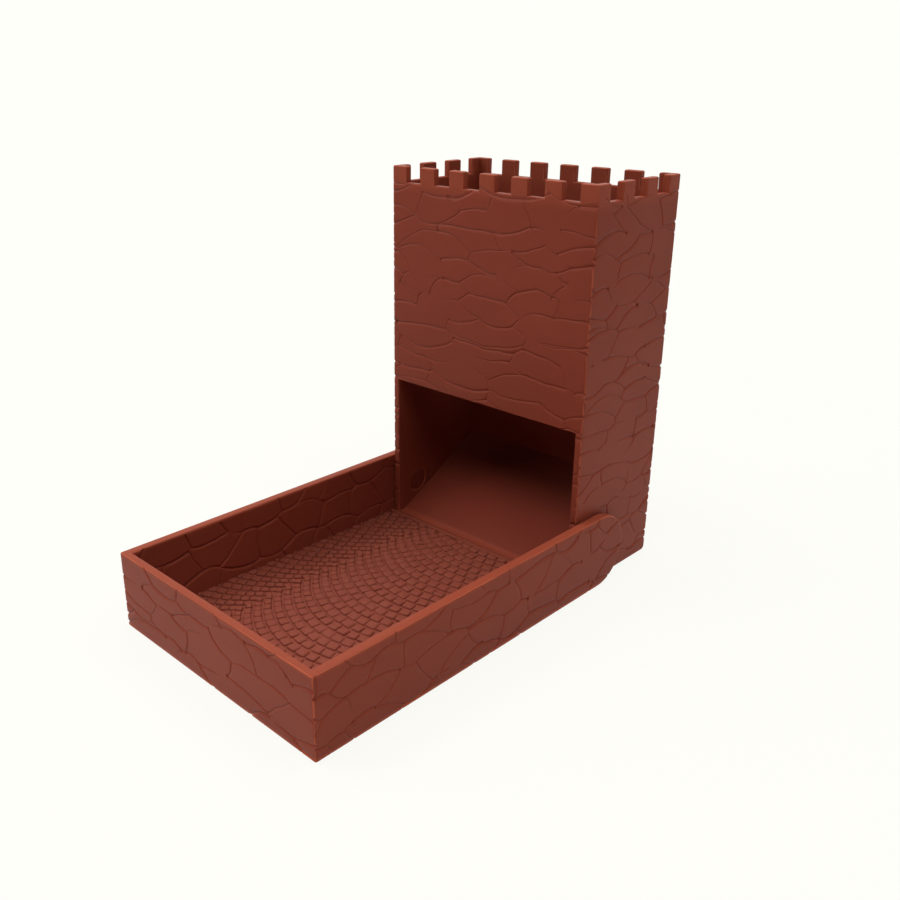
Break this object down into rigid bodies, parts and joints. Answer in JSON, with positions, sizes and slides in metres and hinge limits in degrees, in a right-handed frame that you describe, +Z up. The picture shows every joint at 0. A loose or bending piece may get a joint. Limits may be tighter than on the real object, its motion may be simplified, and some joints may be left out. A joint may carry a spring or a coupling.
{
  "type": "collapsible dice tower",
  "caption": "Small castle-shaped dice tower with a crenellated top, sloping baffles and an exit ramp, hinged to a walled cobbled tray that it folds down into.",
  "frame": {"origin": "on the table, under the centre of the standing object's box", "axes": "+Z up; -Y towards the tray's front, +Y towards the tower's back; the hinge runs along X"},
  "size_m": [0.085, 0.148, 0.1235],
  "materials": {
    "tray_plastic": "semi-matte moulded brick brown, stone and sett relief",
    "tower_plastic": "semi-matte moulded brick brown, stone relief outside",
    "inner_plastic": "semi-matte moulded brick brown, smooth",
    "pin_plastic": "semi-matte moulded brick brown, smooth"
  },
  "bodies": {
    "tray": {"tray_floor": "tray_plastic", "tray_front_wall": "tray_plastic", "tray_left_wall": "tray_plastic", "tray_right_wall": "tray_plastic", "left_hinge_pin": "pin_plastic", "right_hinge_pin": "pin_plastic"},
    "tower": {"tower_front_wall": "tower_plastic", "tower_back_wall": "tower_plastic", "tower_left_wall": "tower_plastic", "tower_right_wall": "tower_plastic", "exit_ramp": "inner_plastic", "upper_baffle": "inner_plastic", "lower_baffle": "inner_plastic"}
  },
  "joints": [
    {"name": "tower_fold", "type": "hinge", "parent": "tray", "child": "tower", "pos_m": [0, 0.0415, 0.0125], "axis": [1, 0, 0], "range_deg": [0, 90]}
  ]
}
